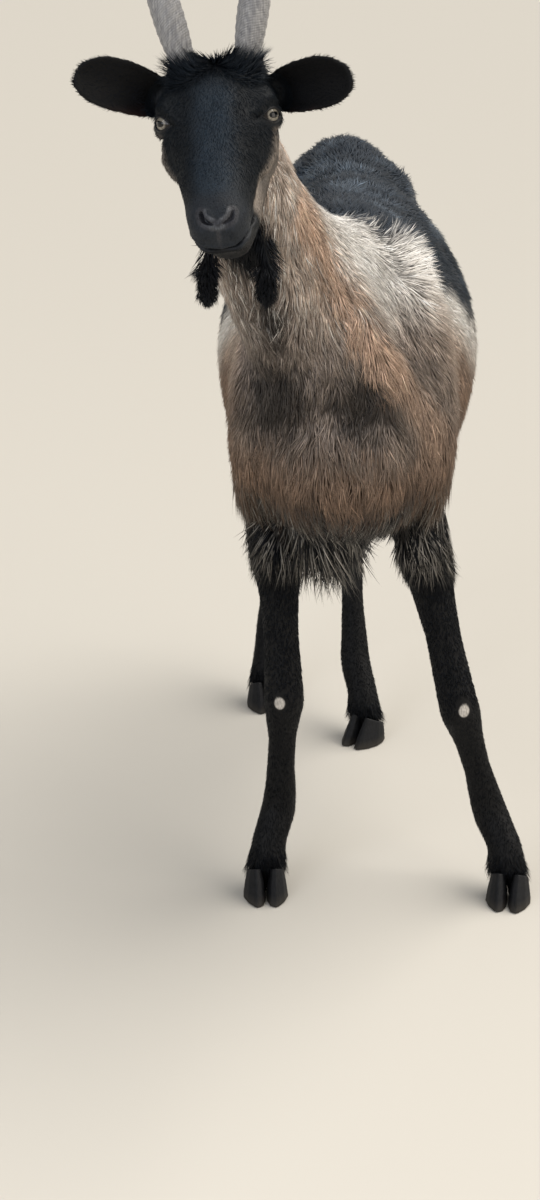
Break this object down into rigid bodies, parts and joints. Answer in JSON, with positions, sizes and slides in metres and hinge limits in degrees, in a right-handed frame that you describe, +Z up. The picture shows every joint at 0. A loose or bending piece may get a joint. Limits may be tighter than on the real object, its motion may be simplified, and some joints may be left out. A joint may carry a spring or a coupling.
{
  "type": "goat",
  "caption": "Still life-size model of a young horned mountain goat standing on its four feet, head turned to the viewer, black face and legs, grey-brown body.",
  "frame": {"origin": "on the floor, below the middle of the model's box", "axes": "+Z up, the goat faces -Y, its left side is +X"},
  "size_m": [0.4144, 1.0082, 1.0513],
  "materials": {
    "black_coat": "short black hair with a blue-grey sheen",
    "dark_brown_coat": "short brown to black hair, grey band along the upper side",
    "grey_coat": "grey-beige hair with an orange-tan streak",
    "horn": "ringed grey-beige horn",
    "hoof": "dull dark grey horn",
    "amber_eye": "wet and glossy, with a level dark pupil"
  },
  "bodies": {
    "root": {"ear_left": "black_coat", "ear_right": "black_coat", "eye_left": "amber_eye", "eye_right": "amber_eye", "foreleg_left_claw_left": "hoof", "foreleg_left_claw_right": "hoof", "foreleg_left_foot": "black_coat", "foreleg_left_lower": "black_coat", "foreleg_left_upper": "black_coat", "foreleg_right_claw_left": "hoof", "foreleg_right_claw_right": "hoof", "foreleg_right_foot": "black_coat", "foreleg_right_lower": "black_coat", "foreleg_right_upper": "black_coat", "head": "black_coat", "hindleg_left_claw_left": "hoof", "hindleg_left_claw_right": "hoof", "hindleg_left_foot": "black_coat", "hindleg_left_lower": "black_coat", "hindleg_left_upper": "black_coat", "hindleg_right_claw_left": "hoof", "hindleg_right_claw_right": "hoof", "hindleg_right_foot": "black_coat", "hindleg_right_lower": "black_coat", "hindleg_right_upper": "black_coat", "horn_left": "horn", "horn_right": "horn", "neck": "grey_coat", "tail": "black_coat", "trunk": "dark_brown_coat", "wattle_left": "black_coat", "wattle_right": "black_coat"}
  },
  "joints": []
}
